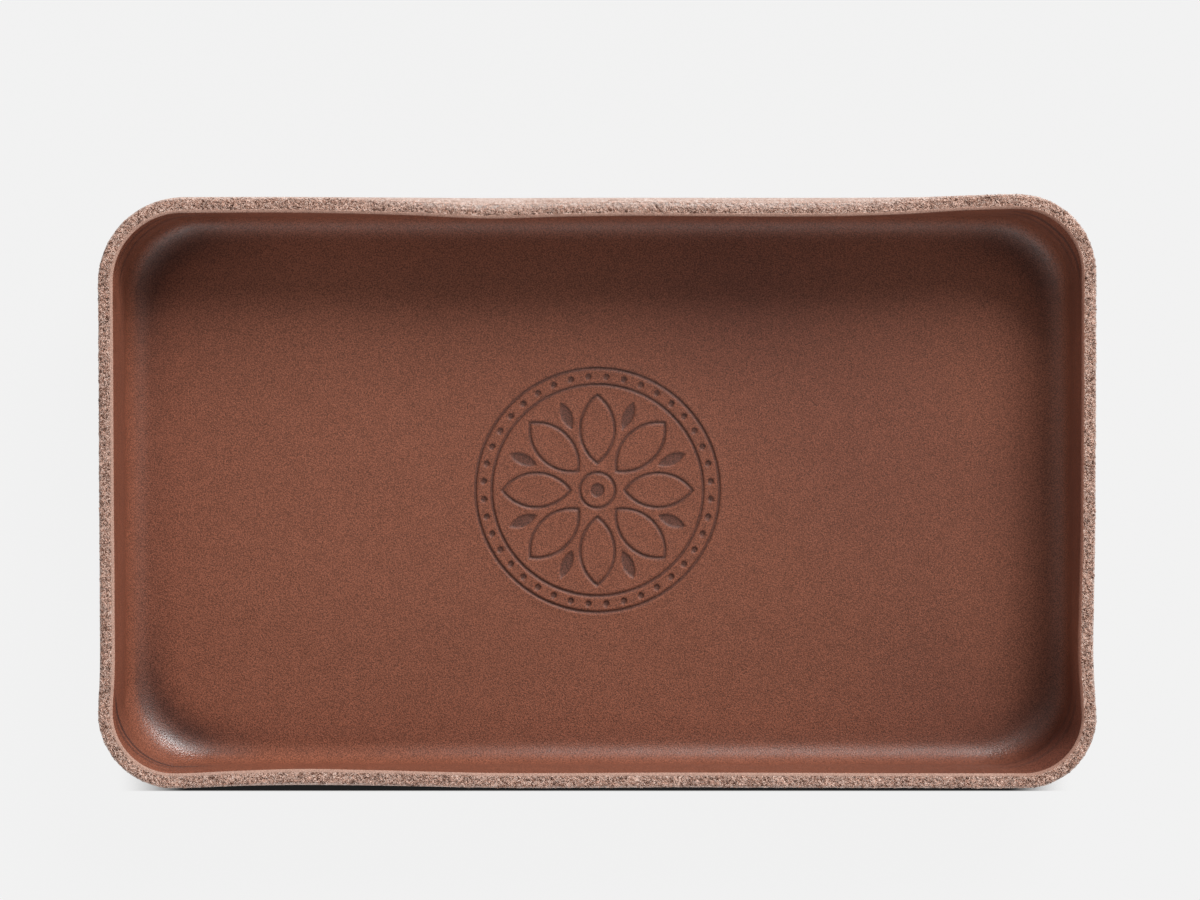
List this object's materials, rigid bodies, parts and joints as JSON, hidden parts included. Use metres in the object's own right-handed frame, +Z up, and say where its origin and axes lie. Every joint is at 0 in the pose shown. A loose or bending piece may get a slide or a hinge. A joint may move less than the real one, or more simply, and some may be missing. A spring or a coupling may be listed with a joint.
{
  "type": "valet tray",
  "caption": "Shallow open rectangular valet tray moulded from thick leather, with rounded corners, a raw cut rim and a design pressed into the floor.",
  "frame": {"origin": "centre of the underside, on the surface the tray stands on", "axes": "+X along the tray's length, +Y across it, +Z up out of its open side"},
  "size_m": [0.216, 0.1284, 0.025],
  "materials": {
    "grain_leather": "smooth dyed grain, burnished in the bends, semi-matt",
    "cut_fibre": "raw cut edge, speckled fibre, matt",
    "napped_flesh": "napped flesh side, matt"
  },
  "bodies": {
    "root": {"grain_layer": "grain_leather", "fibre_layer": "cut_fibre", "flesh_layer": "napped_flesh"}
  },
  "joints": []
}
